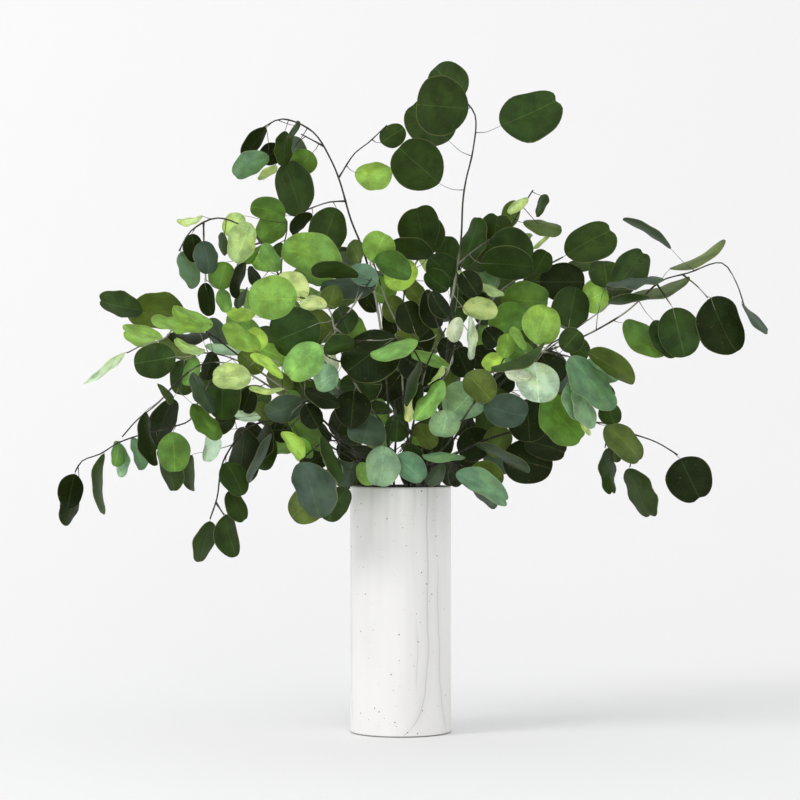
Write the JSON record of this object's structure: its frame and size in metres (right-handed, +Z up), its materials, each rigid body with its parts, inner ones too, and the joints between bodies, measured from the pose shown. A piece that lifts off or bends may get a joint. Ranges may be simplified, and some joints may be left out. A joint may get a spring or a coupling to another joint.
{
  "type": "eucalyptus branches in a vase",
  "caption": "Bunch of round-leaved eucalyptus branches standing in water in a speckled glazed stoneware cylinder vase.",
  "frame": {"origin": "middle of the vase's flat underside", "axes": "+Z up along the vase's axis, -Y towards the front that the picture shows, +X to the right"},
  "size_m": [0.6997, 0.4113, 0.6744],
  "materials": {
    "glazed_stoneware": "satin white glaze with dark specks and soft grey streaks",
    "water": "clear still water",
    "eucalyptus_leaf": "waxy matt leaf with a glaucous bloom",
    "eucalyptus_bark": "smooth grey-brown young bark, matt"
  },
  "bodies": {
    "root": {"vase": "glazed_stoneware", "water": "water", "front_left_low": "eucalyptus_leaf", "centre_left": "eucalyptus_leaf", "centre_front": "eucalyptus_leaf", "front_right": "eucalyptus_leaf", "front_low_right": "eucalyptus_leaf", "crown": "eucalyptus_leaf", "low_left": "eucalyptus_leaf", "left_lower": "eucalyptus_leaf", "upper_left": "eucalyptus_leaf", "left": "eucalyptus_leaf", "arch": "eucalyptus_leaf", "upper_centre": "eucalyptus_leaf", "upper_right": "eucalyptus_leaf", "right": "eucalyptus_leaf", "right_lower": "eucalyptus_leaf", "back_left": "eucalyptus_leaf", "back_mid": "eucalyptus_leaf", "back_right": "eucalyptus_leaf"}
  },
  "joints": []
}
